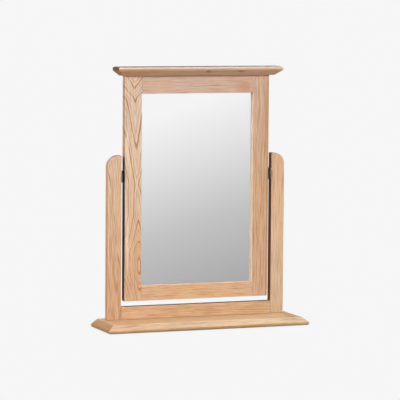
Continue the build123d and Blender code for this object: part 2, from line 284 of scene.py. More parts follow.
# %% [markdown]
# ## Softboxes
# Studio light for furniture is broad and soft. A large softbox in front gives the even light on the
# faces, one at each side lights the sides, one behind lights the back, and a small one from the upper
# right opens the shadows. Seen from the far side at a low angle, the large ones would lie on the
# lacquer as white glare, so they are kept out of the gloss. The one overhead does the opposite and
# shows only as sheen: satin lacquer turns pale where a rounded edge mirrors it.

# %% Softboxes
SOFTBOXES = {  # degrees left of the front, degrees up, metres wide, watts, lights matt, seen in gloss
    "front_softbox": (0, 20, 1.8, 138.0, True, False),
    "left_softbox": (85, 15, 1.4, 97.0, True, False),
    "right_softbox": (-98, 20, 1.6, 55.0, True, False),
    "top_right_softbox": (-100, 64, 0.8, 25.0, True, True),
    "overhead_softbox": (0, 62, 2.4, 205.0, False, True),
    "back_softbox": (180, 30, 1.8, 100.0, True, False),
}
AIM = Vector((0, 0.03, 0.33))
LIGHT_DISTANCE = 3.6

for name, (aside, lift, width, watts, matt, gloss) in SOFTBOXES.items():
    light = bpy.data.lights.new(name, "AREA")
    light.size = width
    light.energy = watts
    lamp = bpy.data.objects.new(name, light)
    turn, rise = radians(aside), radians(lift)
    way = Vector((-sin(turn) * cos(rise), -cos(turn) * cos(rise), sin(rise)))
    lamp.location = AIM + LIGHT_DISTANCE * way
    lamp.rotation_mode = "QUATERNION"
    lamp.rotation_quaternion = (AIM - lamp.location).to_track_quat("-Z", "Y")
    lamp.visible_camera = False
    lamp.visible_diffuse = matt
    lamp.visible_glossy = gloss
    bpy.context.scene.collection.objects.link(lamp)
    print(name, watts, "W")

view = bpy.context.scene.view_settings
view.view_transform = "Standard"
view.look = "None"

# %% [markdown]
# ## Oak
# Oak is ring-porous: each spring the tree lays down a band of wide, dark pores, and dense pale wood
# after it. A plank is a cut through those rings. Cut far from the heart, the rings run as straight
# lines. Cut close to it, they draw flames, because a stem is a stack of long cones: each year's layer
# is wider further down.
#
# The pattern could be painted flat on each face, but then the end grain would be wrong. Here the rings
# are grown: distance from the heart of the stem over the ring width, plus the years that the stem is
# older there. The same field cuts every face, so the ends show arcs and the sides show lines without
# more work. All sizes are in millimetres, in a frame of the plank's own: x across, y into the depth, z
# along the grain. Where the plank lies on its side, x points down.

# %% Place in a plank, and noise along its grain
NOISE_ROUGHNESS = 0.6
SEED_STEP = (7.3, 3.1, 5.7)  # how far one seed lies from the next in the noise


def plank_frame(tree, part, along):
    """Place in the plank's own frame in millimetres, and half the plank's length along the grain."""
    low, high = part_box(part)
    middle = (low + high) / 2 * MM
    half = (high - low) / 2 * MM
    lying = along == "X"
    centre = (-middle.z, middle.y, middle.x) if lying else middle
    turn = (0, -pi / 2 if lying else 0, 0)
    place = add(tree, "Mapping", {0: add(tree, "TexCoord").outputs["Object"],
                                  "Location": [-c for c in centre], "Rotation": turn,
                                  "Scale": (MM, MM, MM)})
    return place.outputs[0], half.x if lying else half.z


def lumps(tree, place, size, seed, detail=1.0):
    """Noise whose lumps measure size[0] mm across the grain and size[1] mm along it."""
    scale = (1 / size[0], 1 / size[0], 1 / size[1])
    start = [seed * step for step in SEED_STEP]
    moved = add(tree, "Mapping", {0: place, "Location": start, "Scale": scale})
    return add(tree, "TexNoise", {"Vector": moved.outputs[0], "Scale": 1.0, "Detail": detail,
                                  "Roughness": NOISE_ROUGHNESS})


# %% Growth rings of a plank
DRIFT = (34.0, 150.0)  # how far apart the slow wanderings of the grain are, across and along
RIPPLE = (10.0, 26.0)  # the same for its small ripples
SEASON = ((0, 0.6), (0.1, 1.0), (0.25, 0.85), (0.5, 0.15), (0.85, 0.0))  # darkness through one year


def wandered(tree, place, wander, seed):
    """The place pushed aside by a slow noise and a small one, by wander[0] and wander[1] mm at most."""
    for size, push in zip((DRIFT, RIPPLE), wander):
        noise = lumps(tree, place, size, seed)
        step = add(tree, "VectorMath", {0: noise.outputs["Color"], 1: (2 * push, 2 * push, 0),
                                        2: (-push, -push, 0)}, operation="MULTIPLY_ADD")
        place = add(tree, "VectorMath", {0: place, 1: step.outputs[0]}).outputs[0]
    return add(tree, "SeparateXYZ", {0: place}).outputs


def grown_rings(tree, along, reach, swell):
    """Rings that the stem has grown along the plank: a smooth curve through swell's pairs.

    Each pair is how far along the plank, from 0 to 1, and how many rings the stem has grown there.
    """
    most = max(grown for spot, grown in swell)
    share = add(tree, "MapRange", {"Value": along, "From Min": -reach, "From Max": reach})
    stem = add(tree, "FloatCurve", {"Value": share.outputs[0]})
    knots = stem.mapping.curves[0].points
    for spot, grown in swell[2:]:
        knots.new(spot, grown / most)
    for knot, (spot, grown) in zip(knots, swell):
        knot.location = (spot, grown / most)
    stem.mapping.update()
    return stem.outputs[0], most


def ring_lines(tree, place, reach, ring, years, heart, lean, swell, wander, seed):
    """Dark spring lines: the ring number is distance from the heart over ring width, plus the swell.

    ring is the ring width at the low and the high end. The heart runs heart[0] mm aside of the
    plank's middle and heart[1] mm behind it, and leans aside by lean mm in each mm. years says how
    dark the lines of successive years are, again and again.
    """
    axes = wandered(tree, place, wander, seed)
    aside = add(tree, "Math", {0: axes["Z"], 1: -lean, 2: -heart[0]}, operation="MULTIPLY_ADD")
    across = add(tree, "Math", {0: aside.outputs[0], 1: axes["X"]})
    deep = add(tree, "Math", {0: axes["Y"], 1: -heart[1]})
    offset = add(tree, "CombineXYZ", {0: across.outputs[0], 1: deep.outputs[0]})
    distance = add(tree, "VectorMath", {0: offset.outputs[0]}, operation="LENGTH").outputs["Value"]
    width = add(tree, "MapRange", {"Value": axes["Z"], "From Min": -reach, "From Max": reach,
                                   "To Min": ring[0], "To Max": ring[1]})
    number = add(tree, "Math", {0: distance, 1: width.outputs[0]}, operation="DIVIDE").outputs[0]
    if swell:
        stem, most = grown_rings(tree, axes["Z"], reach, swell)
        number = add(tree, "Math", {0: stem, 1: most, 2: number}, operation="MULTIPLY_ADD").outputs[0]
    cycle = add(tree, "Math", {0: number, 1: len(years)}, operation="DIVIDE")
    cycle = add(tree, "Math", {0: cycle.outputs[0]}, operation="FRACT")
    spring = add(tree, "ValToRGB", {0: cycle.outputs[0]})
    lines = [((count + part) / len(years), dark * year)
             for count, year in enumerate(years) for part, dark in SEASON]
    stops = spring.color_ramp.elements
    for where, dark in lines[2:]:
        stops.new(where)
    for stop, (where, dark) in zip(stops, lines):
        stop.position = where
        stop.color = (dark, dark, dark, 1)
    return spring.outputs["Color"]


print("grain wanders over", DRIFT, "mm and ripples over", RIPPLE, "mm")

# %% [markdown]
# The rings give lines, and the pores give the fine dashes along the grain that make oak look like oak.
# The pale wood differs from plank to plank and along each plank, so every plank gets three tones for
# its two ends and its middle. On the stiles and the left post these tones are also painted light: they
# turn greyer towards the top, where the light from above is whiter. Pores multiply that tone by one
# fixed brown, as the same stain would on any wood. Knots, mineral streaks, the dirt in a joint, and
# painted shade and painted light are soft ellipsoids, given by place, half sizes, colour and strength.

# %% Darkness of rings and pores
PORE = (2.2, 48.0)     # real pores are 0.3 mm wide: drawn wider, so that they show at this distance
FLECK = (0.9, 14.0)    # finer pores for a close look
PATCH = (12.0, 70.0)   # where the ring lines show and where they are lost
PORE_DARK = 0.44       # share of the full brown that a wide pore adds
FLECK_DARK = 0.2       # the same for a fine one
PORE_RANGE = (0.35, 0.7)   # values of the noise between which a pore sets in and is full
PATCH_RANGE = (0.4, 0.6)   # the same for the patches


def grain(tree, place, lines, figure, broken, seed):
    """Darkness of the grain from 0 to 1, and the wide pores alone.

    Darkness is figure times the ring lines, less the share broken in patches, plus two sizes of pores.
    """
    patch = lumps(tree, place, PATCH, seed + 60)
    shown = add(tree, "MapRange", {"Value": patch.outputs["Fac"], "From Min": PATCH_RANGE[0],
                                   "From Max": PATCH_RANGE[1], "To Min": (1 - broken) * figure,
                                   "To Max": figure})
    dark = add(tree, "Math", {0: lines, 1: shown.outputs[0]}, operation="MULTIPLY")
    pores = []
    for size, share in ((PORE, PORE_DARK), (FLECK, FLECK_DARK)):
        noise = lumps(tree, place, size, seed, 2.0)
        pore = add(tree, "MapRange", {"Value": noise.outputs["Fac"], "From Min": PORE_RANGE[0],
                                      "From Max": PORE_RANGE[1]})
        dark = add(tree, "Math", {0: pore.outputs[0], 1: share, 2: dark.outputs[0]},
                   operation="MULTIPLY_ADD")
        pores.append(pore.outputs[0])
    dark.use_clamp = True
    return dark.outputs[0], pores[0]


print("a wide pore is drawn", PORE[0], "mm wide")

# %% Pale tone and marks
CLOUD = (28.0, 110.0)  # slow clouds in the tone
BLUSH = (9.0, 45.0)    # smaller patches that are pinker or yellower
CLOUD_SHIFT = 0.24     # how far a cloud shifts the tone, as a share of the plank
BLUSH_HUES = ((0.35, "#fff7f3"), (0.65, "#fafaf0"))
TONE_STOPS = (0.1, 0.5, 0.9)  # where the three tones lie along the plank
MARK_EDGE = (1.25, 0.25)  # where a mark sets in and where it is full, in its half sizes
MARK_FRAY = 0.5           # how much the pores fray it


def pale_tone(tree, place, reach, pale, seed):
    """Three tones from the plank's low end to its high end, shifted by clouds, tinted in patches."""
    cloud = lumps(tree, place, CLOUD, seed + 20)
    axes = add(tree, "SeparateXYZ", {0: place}).outputs
    run = add(tree, "MapRange", {"Value": axes["Z"], "From Min": -reach, "From Max": reach,
                                 "To Min": -CLOUD_SHIFT / 2, "To Max": 1 - CLOUD_SHIFT / 2})
    run = add(tree, "Math", {0: cloud.outputs["Fac"], 1: CLOUD_SHIFT, 2: run.outputs[0]},
              operation="MULTIPLY_ADD")
    tone = add(tree, "ValToRGB", {0: run.outputs[0]})
    tone.color_ramp.elements.new(0.5)
    for stop, position, colour in zip(tone.color_ramp.elements, TONE_STOPS, pale):
        stop.position = position
        stop.color = linear(colour)
    blush = add(tree, "ValToRGB", {0: lumps(tree, place, BLUSH, seed + 40).outputs["Fac"]})
    for stop, (position, hue) in zip(blush.color_ramp.elements, BLUSH_HUES):
        stop.position = position
        stop.color = linear(hue)
    return add(tree, "Mix", {0: 1.0, 6: tone.outputs[0], 7: blush.outputs[0]},
               data_type="RGBA", blend_type="MULTIPLY").outputs[2]


def marked(tree, place, colour, marks, pores):
    """The colour with soft ellipsoids mixed in: distance over half sizes, frayed by the pores."""
    for spot, half, hue, strength in marks:
        local = add(tree, "VectorMath", {0: place, 1: spot}, operation="SUBTRACT")
        local = add(tree, "VectorMath", {0: local.outputs[0], 1: half}, operation="DIVIDE")
        away = add(tree, "VectorMath", {0: local.outputs[0]}, operation="LENGTH")
        away = add(tree, "Math", {0: pores, 1: MARK_FRAY, 2: away.outputs["Value"]},
                   operation="MULTIPLY_ADD")
        mark = add(tree, "MapRange", {"Value": away.outputs[0], "From Min": MARK_EDGE[0],
                                      "From Max": MARK_EDGE[1], "To Max": strength},
                   interpolation_type="SMOOTHSTEP")
        colour = add(tree, "Mix", {0: mark.outputs[0], 6: colour, 7: linear(hue)},
                     data_type="RGBA").outputs[2]
    return colour


print("clouds in the tone measure", CLOUD, "mm")

# %% Oak, planed, sanded and lacquered
PORE_BROWN = "#b6957c"
END_GRAIN = "#a5744e"
WORN_EDGE = "#f2dcc4"
EDGE = (0.98, 0.8)       # how flat a face is where wear sets in, and where it is full
LACQUER = (0.36, 0.52)   # roughness of satin lacquer on dense wood and over open pores
COAT_ROUGHNESS = 0.38
END_FACE = (0.3, 0.7)    # how far a face has to look along the grain to count as an end
PORE_BUMP = (0.25, 0.0002)  # strength, and depth in metres


def face_turn(tree):
    """How far the surface faces along each axis, from 0 to 1, and the largest of the three."""
    normal = add(tree, "TexCoord").outputs["Normal"]
    facing = add(tree, "VectorMath", {0: normal}, operation="ABSOLUTE")
    sides = add(tree, "SeparateXYZ", {0: facing.outputs[0]}).outputs
    flat = add(tree, "Math", {0: sides["X"], 1: sides["Y"]}, operation="MAXIMUM")
    flat = add(tree, "Math", {0: flat.outputs[0], 1: sides["Z"]}, operation="MAXIMUM")
    return sides, flat.outputs[0]


def oak(name, part, pale, along="Z", ring=(3.4, 3.4), years=(1.0, 0.3, 0.7, 0.2, 0.5), heart=(0, 60),
        lean=0.0, swell=(), wander=(6.0, 0.8), figure=0.6, broken=0.6, marks=(), seed=0, worn=0.35,
        ends=0.6, coat=0.0):
    """Oak plank: pale tone times pore brown where the grain is dark, then marks, ends and worn edges."""
    material, tree, shader = new_material(name, coat_weight=coat, coat_roughness=COAT_ROUGHNESS)
    place, reach = plank_frame(tree, part, along)
    lines = ring_lines(tree, place, reach, ring, years, heart, lean, swell, wander, seed)
    dark, pores = grain(tree, place, lines, figure, broken, seed)
    colour = pale_tone(tree, place, reach, pale, seed)
    colour = add(tree, "Mix", {0: dark, 6: colour, 7: linear(PORE_BROWN)},
                 data_type="RGBA", blend_type="MULTIPLY").outputs[2]
    colour = marked(tree, place, colour, marks, pores)

    # end grain drinks the lacquer and turns darker; a softened edge is rubbed paler
    sides, flat = face_turn(tree)
    end = add(tree, "MapRange", {"Value": sides[along], "From Min": END_FACE[0],
                                 "From Max": END_FACE[1], "To Max": ends})
    colour = add(tree, "Mix", {0: end.outputs[0], 6: colour, 7: linear(END_GRAIN)},
                 data_type="RGBA", blend_type="MULTIPLY").outputs[2]
    if worn:
        edge = add(tree, "MapRange", {"Value": flat, "From Min": EDGE[0], "From Max": EDGE[1],
                                      "To Max": worn})
        colour = add(tree, "Mix", {0: edge.outputs[0], 6: colour, 7: linear(WORN_EDGE)},
                     data_type="RGBA").outputs[2]
    tree.links.new(colour, shader.inputs["Base Color"])

    # satin lacquer: a little duller and lower where the pores are open
    rough = add(tree, "MapRange", {"Value": dark, "To Min": LACQUER[0], "To Max": LACQUER[1]})
    tree.links.new(rough.outputs[0], shader.inputs["Roughness"])
    bump = add(tree, "Bump", {"Height": dark, "Strength": PORE_BUMP[0], "Distance": PORE_BUMP[1]},
               invert=True)
    tree.links.new(bump.outputs[0], shader.inputs["Normal"])
    give(material, part)


# %% [markdown]
# ## Nine planks
# A maker picks planks that go together, but no two are alike. The left stile is cut close to the heart
# and shows flames: its stem swells and shrinks along the plank, and each turn of that curve is the tip
# of a flame. The right stile is cut far out and runs straight. Marks put in what the real planks have
# besides: a joint's dark line, pale and reddish patches. Other marks are painted shade: on the faces
# inside the gaps beside the posts, on the outer side faces and around the fittings. One is painted
# light, on the right stile's face beside the glass.

# %% Marks, and the two stiles
ALL = 1e4            # half size of a mark that runs right through the plank
DIRT = "#5a3a24"
PAINTED_GAP_SHADE = "#5a260a"   # painted shade on the faces inside the narrow gaps beside the posts
PALE_PATCH_AND_PAINTED_LIGHT = "#f6e2cc"   # pale patches of wood, and painted light on the right stile's face beside the glass
STREAK = "#a87c50"   # mineral streaks
FITTING_SHADE = "#45352b"


def flat_mark(axis, place, width=1.6, hue=DIRT, strength=0.8):
    """Mark on a flat across one axis of the plank, as the line of a joint or the colour of one face."""
    spot, half = [0, 0, 0], [ALL, ALL, ALL]
    spot[axis], half[axis] = place, width
    return tuple(spot), tuple(half), hue, strength


def front_mark(x, z, width, height, hue=STREAK, strength=0.6):
    """Mark on the front face of a plank that is 20 mm thick."""
    return (x, -10, z), (width, 6, height), hue, strength


# left stile: the outer side face is painted darker, painted shade, and darker still below the post tops,
# painted shade in the gap; the dark mark by the fitting is painted shadow
oak("oak_flame_left_stile", "left_stile", ("#e3c2a3", "#e6cfbb", "#decaba"),
    ring=(2.7, 7.5), years=(1.0, 0.2, 0.35), heart=(11, -7), lean=-0.03, wander=(3.0, 1.8), figure=1.15,
    broken=0.4, seed=1,
    swell=((0, 6.2), (0.056, 4.73), (0.093, 3.2), (0.129, 2.03), (0.162, 1.67), (0.192, 2.1), (0.229, 3.33),
           (0.265, 5.4), (0.289, 6.47), (0.31, 7.4), (0.347, 8.53), (0.383, 9.47), (0.428, 10.03),
           (0.492, 10.6), (0.519, 11), (0.564, 10.27), (0.615, 9.6), (0.755, 7.67), (0.897, 5.7),
           (0.927, 3.7), (0.973, 1.73), (1, 0.4)),
    marks=(flat_mark(0, -21.5, 1.2, "#bd8450", 0.45), ((-21.5, 0, -110), (1.4, ALL, 230), PAINTED_GAP_SHADE, 0.95),
           front_mark(-21, 30, 1.8, 16, FITTING_SHADE, 0.8), front_mark(10, -170, 14, 100, "#b98452", 0.35),
           front_mark(-15, -130, 6, 110, PALE_PATCH_AND_PAINTED_LIGHT, 0.45), front_mark(-15, 95, 6, 70, PALE_PATCH_AND_PAINTED_LIGHT, 0.45)))
# right stile: the outer side face below the post tops is painted dark, painted shade in the gap, and the
# inner face beside the glass is painted pale, painted light
oak("oak_straight_right_stile", "right_stile", ("#d8b79d", "#d3b291", "#d1b8a7"),
    ring=(4.2, 4.2), heart=(-70, 60), wander=(7.0, 1.6), figure=0.6, seed=2,
    marks=(front_mark(14, 170, 8, 120, "#b5763f", 0.45), front_mark(17.5, 0, 2.5, ALL, "#9c6a40", 0.5),
           front_mark(5, 170, 3, 70, "#a06c50", 0.35), front_mark(2, -190, 3, 60, "#a87c5e", 0.35),
           ((21.5, 0, -110), (1.4, ALL, 230), PAINTED_GAP_SHADE, 0.95), flat_mark(0, -21.5, 1.2, PALE_PATCH_AND_PAINTED_LIGHT, 0.75)))

# %% [markdown]
# The left post has mineral streaks, which are dark brown strokes along the grain where the tree took up
# metal salts from the soil. The right post is plain. Both have dirt where they stand on the base board.

# %% The two posts
# left post: the inner side face is painted dark, painted shade in the gap, the outer side face a little
# darker, painted shade, and the dark mark by the fitting is painted shadow
oak("oak_streaked_left_post", "left_post", ("#d9b492", "#dfbda2", "#ddc2ac"),
    ring=(5.0, 5.0), heart=(-90, 30), lean=-0.12, wander=(9.0, 1.6), figure=0.6, broken=0.9, seed=3,
    ends=0.9,
    marks=(flat_mark(0, -17.25, 1.2, "#c48f60", 0.25), flat_mark(2, -201),
           flat_mark(0, 17.25, 1.4, PAINTED_GAP_SHADE, 0.95), front_mark(16.8, 149.5, 1.8, 16, FITTING_SHADE, 0.8),
           front_mark(-5.5, 116, 2.4, 48, "#a58266"), front_mark(11.5, 168, 3, 18, strength=0.4),
           front_mark(11.5, 12, 3, 25, "#b57a5a", 0.4), front_mark(-8.5, -18, 2.8, 34),
           front_mark(-3, -70, 4, 42, strength=0.75), front_mark(0.5, -104, 3, 24, strength=0.75),
           front_mark(6, -121, 6, 22, "#b0704e", 0.8), front_mark(11.5, -155, 3.4, 34),
           front_mark(-4.5, -181, 3, 20), front_mark(-14.5, -176, 3, 14)))
# right post: the inner side face is painted dark, painted shade in the gap, and the dark mark by the
# fitting is painted shadow
oak("oak_straight_right_post", "right_post", ("#d8c0a5", "#e6c8ac", "#dcbda0"),
    heart=(90, 80), wander=(5.0, 0.8), figure=0.5, seed=4, ends=0.9,
    marks=(flat_mark(2, -201), flat_mark(0, -17.25, 1.4, "#8a4a22", 0.85),
           front_mark(-16.8, 149.5, 3.0, 17, "#3c2b21", 0.95)))

# %% [markdown]
# The rails lie across, so their grain runs along X. Where a rail meets a stile or a post, the joint
# shows as a fine dark line.

# %% The three rails
oak("oak_top_rail", "top_rail", ("#cdb5a5", "#cdb7a8", "#d0b1a4"), along="X",
    ring=(5.0, 5.0), heart=(-70, 60), lean=0.03, wander=(7.0, 1.2), figure=0.2, seed=5,
    marks=(flat_mark(2, -146, strength=0.35), flat_mark(2, 146, strength=0.35),
           front_mark(6, 122, 20, 28, "#b07a5c", 0.6), front_mark(0, -100, 16, 45, "#cf9f86", 0.35)))
oak("oak_bottom_rail", "bottom_rail", ("#e2bd9b", "#e2bc98", "#dfbea1"), along="X",
    heart=(-60, 40), wander=(4.0, 0.8), figure=0.4, seed=6,
    marks=(flat_mark(2, -146, strength=0.3), flat_mark(2, 146, strength=0.3)))
# cross rail: the top face is painted darker, painted shade under the frame
oak("oak_cross_rail", "cross_rail", ("#dfba99", "#d8b591", "#d7b793"), along="X",
    heart=(60, 50), lean=0.05, wander=(5.0, 0.8), figure=0.55, seed=7,
    marks=(flat_mark(0, 15.75), flat_mark(0, -15.75, 1.3, "#6b4f3a", 0.8),
           flat_mark(2, -197.5, strength=0.5), flat_mark(2, 197.5, strength=0.5),
           front_mark(0, 35, 14, 22, "#b98660", 0.45)))

# %% [markdown]
# Base board and cornice are moulded and have more lacquer on them, which gathers on the rounded edges.
# That is a coat over the wood, so both have coat and no worn edges. The cornice has two small knots in
# its slope, each a dark core with a paler tail along the grain.

# %% Base board and cornice
# base board: the top face is painted paler, painted light from above
oak("oak_base_board", "base_board", ("#cba77f", "#bd9e78", "#c6ac80"), along="X",
    heart=(90, 40), wander=(6.0, 0.8), figure=0.42, seed=8, worn=0, ends=0.2, coat=0.25,
    marks=(flat_mark(0, -10, 1.2, "#ecc9a0", 0.3),))
# cornice: the lower slope is painted darker orange, painted shade, and the nose and top are painted grey, a
# painted sheen
oak("oak_knotted_cornice", "cornice", ("#c39e79", "#c7a996", "#d2b79d"), along="X",
    heart=(70, 60), wander=(6.0, 0.8), figure=0.7, seed=9, worn=0, ends=0.8, coat=1.0,
    marks=(flat_mark(0, 12, 9, "#cb8a4e", 0.65), flat_mark(0, -11, 5, "#857f7e", 0.45),
           ((1, -20, 17.5), (4.6, 10, 8.5), "#5c3419", 0.9), ((1, -20, 30), (3, 10, 22), "#8a5f3e", 0.45),
           ((1, -20, 103), (4, 10, 10), "#6a4124", 0.85), ((0, -20, 90), (3, 10, 20), "#8a5f3e", 0.4)))

# %% [markdown]
# ## Silvered glass
# The looking glass is float glass with silver on its back. What the eye gets from it is the room, with
# a very faint loss of light and a trace of green, most at the rim where the silver is old. A clean
# metal without any roughness does that, and only its colour needs a pattern: slow clouds and a rim that
# is a little darker.

# %% Silvered glass
RIM = 9.0            # millimetres from the edge over which old silver darkens
SILVER_CLOUD = 90.0
CLOUD_LOSS = 0.25    # share of the rim's loss that a cloud takes
SILVER = ("#fcfcfc", "#f3f6f4")  # clean, and old

material, tree, shader = new_material("silvered_float_glass", metallic=1.0, roughness=0.0)
low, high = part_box("mirror_glass")
middle, half = (low + high) / 2 * MM, (high - low) / 2 * MM
place = add(tree, "Mapping", {0: add(tree, "TexCoord").outputs["Object"], "Location": -middle,
                              "Scale": (MM, MM, MM)})
from_middle = add(tree, "VectorMath", {0: place.outputs[0]}, operation="ABSOLUTE")
axes = add(tree, "SeparateXYZ", {0: from_middle.outputs[0]}).outputs
aside = add(tree, "MapRange", {"Value": axes["X"], "From Min": half.x - RIM, "From Max": half.x})
upward = add(tree, "MapRange", {"Value": axes["Z"], "From Min": half.z - RIM, "From Max": half.z})
rim = add(tree, "Math", {0: aside.outputs[0], 1: upward.outputs[0]}, operation="MAXIMUM")
cloud = lumps(tree, place.outputs[0], (SILVER_CLOUD, SILVER_CLOUD), 31)
loss = add(tree, "Math", {0: cloud.outputs["Fac"], 1: CLOUD_LOSS, 2: rim.outputs[0]},
           operation="MULTIPLY_ADD", use_clamp=True)
silver = add(tree, "Mix", {0: loss.outputs[0], 6: linear(SILVER[0]), 7: linear(SILVER[1])},
             data_type="RGBA")
tree.links.new(silver.outputs[2], shader.inputs["Base Color"])
give(material, "mirror_glass")

# %% [markdown]
# ## Metal fittings
# The plates are pressed steel with a dark bronze finish. The finish is a thin brown film, more paint
# than metal, so it is only partly metallic. On the frame's plates it is rubbed off along the edges, so
# the edges show lighter. On the posts' plates the flats are painted pale, a painted highlight, and the
# edges stay dark. Pins and spring washers are zinc plated, which is a pale grey with soft clouds. All
# are one kind of surface: two tones in clouds, another tone at the edges, and a roughness that follows
# the clouds.

# %% Plated and finished metal
NOISE_RANGE = (0.3, 0.7)      # values that most of a noise lies between
CLOUD_BUMP = (0.15, 0.0001)   # strength, and depth in metres


def metal(name, tones, worn, cloud, rough, metallic, wear="edges"):
    """Metal finish: two tones in clouds of that many millimetres, and a third tone where it is worn.

    Wear is where a face turns away from the piece's main directions, which is its rounded edges, or
    it is an attribute of that name on the mesh.
    """
    material, tree, shader = new_material(name, metallic=metallic)
    place = add(tree, "Mapping", {0: add(tree, "TexCoord").outputs["Object"],
                                  "Scale": (MM, MM, MM)}).outputs[0]
    clouds = lumps(tree, place, (cloud, cloud), 41, 3.0).outputs["Fac"]
    clouds = add(tree, "MapRange", {"Value": clouds, "From Min": NOISE_RANGE[0],
                                    "From Max": NOISE_RANGE[1]}).outputs[0]
    colour = add(tree, "Mix", {0: clouds, 6: linear(tones[0]), 7: linear(tones[1])},
                 data_type="RGBA").outputs[2]
    if wear == "edges":
        sides, flat = face_turn(tree)
        rubbed = add(tree, "MapRange", {"Value": flat, "From Min": EDGE[0],
                                        "From Max": EDGE[1]}).outputs[0]
    else:
        rubbed = add(tree, "Attribute", attribute_name=wear).outputs["Fac"]
    colour = add(tree, "Mix", {0: rubbed, 6: colour, 7: linear(worn)}, data_type="RGBA").outputs[2]
    tree.links.new(colour, shader.inputs["Base Color"])
    dull = add(tree, "MapRange", {"Value": clouds, "To Min": rough[0], "To Max": rough[1]})
    tree.links.new(dull.outputs[0], shader.inputs["Roughness"])
    bump = add(tree, "Bump", {"Height": clouds, "Strength": CLOUD_BUMP[0], "Distance": CLOUD_BUMP[1]})
    tree.links.new(bump.outputs[0], shader.inputs["Normal"])
    return material


# two tones, the tone of the edges, cloud size in mm, roughness from and to, and how metallic it is
BRONZE = (("#211915", "#15100d"), "#4a3c34", 2.5, (0.45, 0.6), 0.4)
# the posts' plates: pale flats are a painted highlight, and the edges stay dark
BRONZE_PAINTED_HIGHLIGHT = (("#9a867c", "#7f6d64"), "#2c211b", 2.5, (0.4, 0.55), 0.2)
ZINC = (("#c9cac8", "#a9aba9"), "#e4e4e2", 1.6, (0.24, 0.42), 1.0)
both = ("left", "right")
give(metal("pressed_steel_dark_bronze", *BRONZE), *[f"{side}_frame_plate" for side in both])
give(metal("pressed_steel_bronze_painted_highlight", *BRONZE_PAINTED_HIGHLIGHT), *[f"{side}_post_plate" for side in both])
turned = [f"{side}_{piece}" for side in both for piece in ("pivot_pin", "spring_washer")]
give(metal("turned_steel_zinc_plated", *ZINC), *turned)

# %% [markdown]
# ## Screws
# The CAD model's screws are smooth turned shapes, which is right for their fit but not for a close
# look. A real wood screw has a crossed recess in its head and a thread that climbs its shank. Both
# could be cut with booleans, but a screw is a surface of two parameters, how far along its outline and
# how far around, so recess and thread are terms in one formula. Each screw of a group is turned to
# another angle, as hands leave them.

# %% Outlines of the three kinds of screw
HEAD_ROWS = 16
HEAD_START = 0.06      # share of the head's radius where its rows start
ROWS_A_TURN = 8
TIP_END = 0.99         # share of the length where the rows end and the tip closes
HEAD_GAP = 0.01        # millimetres from the last row of a head to the first row below it
OUTLINES = {  # head diameter, crown, depth of the cone, shank diameter, length and pitch of the thread
    "flat": (9.0, 0.0, 2.25, 4.5, 45.0, 2.2),
    "raised": (5.4, 1.0, 1.2, 3.0, 16.0, 1.3),
    "domed": (6.0, 1.5, 0.0, 2.8, 10.0, 1.2),
}


def crown_rows(head_radius, crown):
    """Points of a head from its middle to its rim: a flat disc, or a cap of a sphere that is crown high."""
    across = np.linspace(HEAD_START, 1, HEAD_ROWS) * head_radius
    if not crown:
        return np.stack([across, 0 * across], axis=-1)
    ball = (head_radius ** 2 + crown ** 2) / (2 * crown)
    return np.stack([across, crown - ball + np.sqrt(ball ** 2 - across ** 2)], axis=-1)


def screw_outline(head, crown, sink, shank, length, pitch):
    """Half outline of a screw in millimetres, from the middle of its head to its tip.

    The tip is a cone: its radius is half of what is left of the length.
    """
    top = crown_rows(head / 2, crown)
    steps = int(ROWS_A_TURN * (length - sink) / pitch)
    down = np.linspace(-sink - HEAD_GAP, -length * TIP_END, steps)
    thickness = np.minimum(shank / 2, (down + length) / 2)
    return np.concatenate([top, np.stack([thickness, down], axis=-1)])


print("rows of each outline:", {kind: len(screw_outline(*sizes)) for kind, sizes in OUTLINES.items()})

# %% One screw, its recess and its thread
SPOKES = 40
RECESS_ARM = 0.055     # half width, reach, wall and depth of the crossed recess, in head diameters
RECESS_REACH = 0.33
RECESS_WALL = 0.03
RECESS_DEPTH = 0.16
THREAD_DEPTH = 0.1     # in shank diameters
SMOOTH_SHANK = 0.25    # share of the length that has no thread
RIM_WEAR = 10          # the higher, the closer to the rim the wear of a head stays


def screw_grid(kind, turn):
    """One screw as a grid of rows along its outline by columns around, and its wear.

    Recess: inside a cross of two arms the surface is lower by the recess depth, with soft walls.
    Thread: the shank is thinner by the thread depth times a triangle wave of height over pitch minus
    turn, so the crest climbs one pitch in each round.
    """
    head, crown, sink, shank, length, pitch = OUTLINES[kind]
    outline = screw_outline(*OUTLINES[kind])
    around = np.linspace(0, 2 * pi, SPOKES, endpoint=False)[None]
    reach, height = outline[:, :1], outline[:, 1:] + 0 * around
    x, y = reach * np.cos(around + turn), reach * np.sin(around + turn)
    limits = (RECESS_ARM * head, RECESS_REACH * head)
    inside = [np.clip((limit - np.abs(v)) / (RECESS_WALL * head) + 0.5, 0, 1)
              for v in (x, y) for limit in limits]
    cross = np.maximum(inside[0] * inside[3], inside[2] * inside[1])
    on_head = outline[:, 1:] >= -HEAD_GAP / 2
    height = height - RECESS_DEPTH * head * cross * on_head
    climb = np.abs((height / pitch - around / (2 * pi)) % 1 - 0.5) * 2
    threaded = outline[:, 1:] < -sink - SMOOTH_SHANK * length
    reach = reach - THREAD_DEPTH * shank * climb * threaded
    points = np.stack([reach * np.cos(around), reach * np.sin(around), height], axis=-1)
    rim = (2 * outline[:, :1] / head) ** RIM_WEAR
    wear = np.clip(4 * cross * (1 - cross) * on_head + rim * on_head, 0, 1)
    return points, wear


print("one domed screw has", screw_grid("domed", 0.0)[1].size, "points")

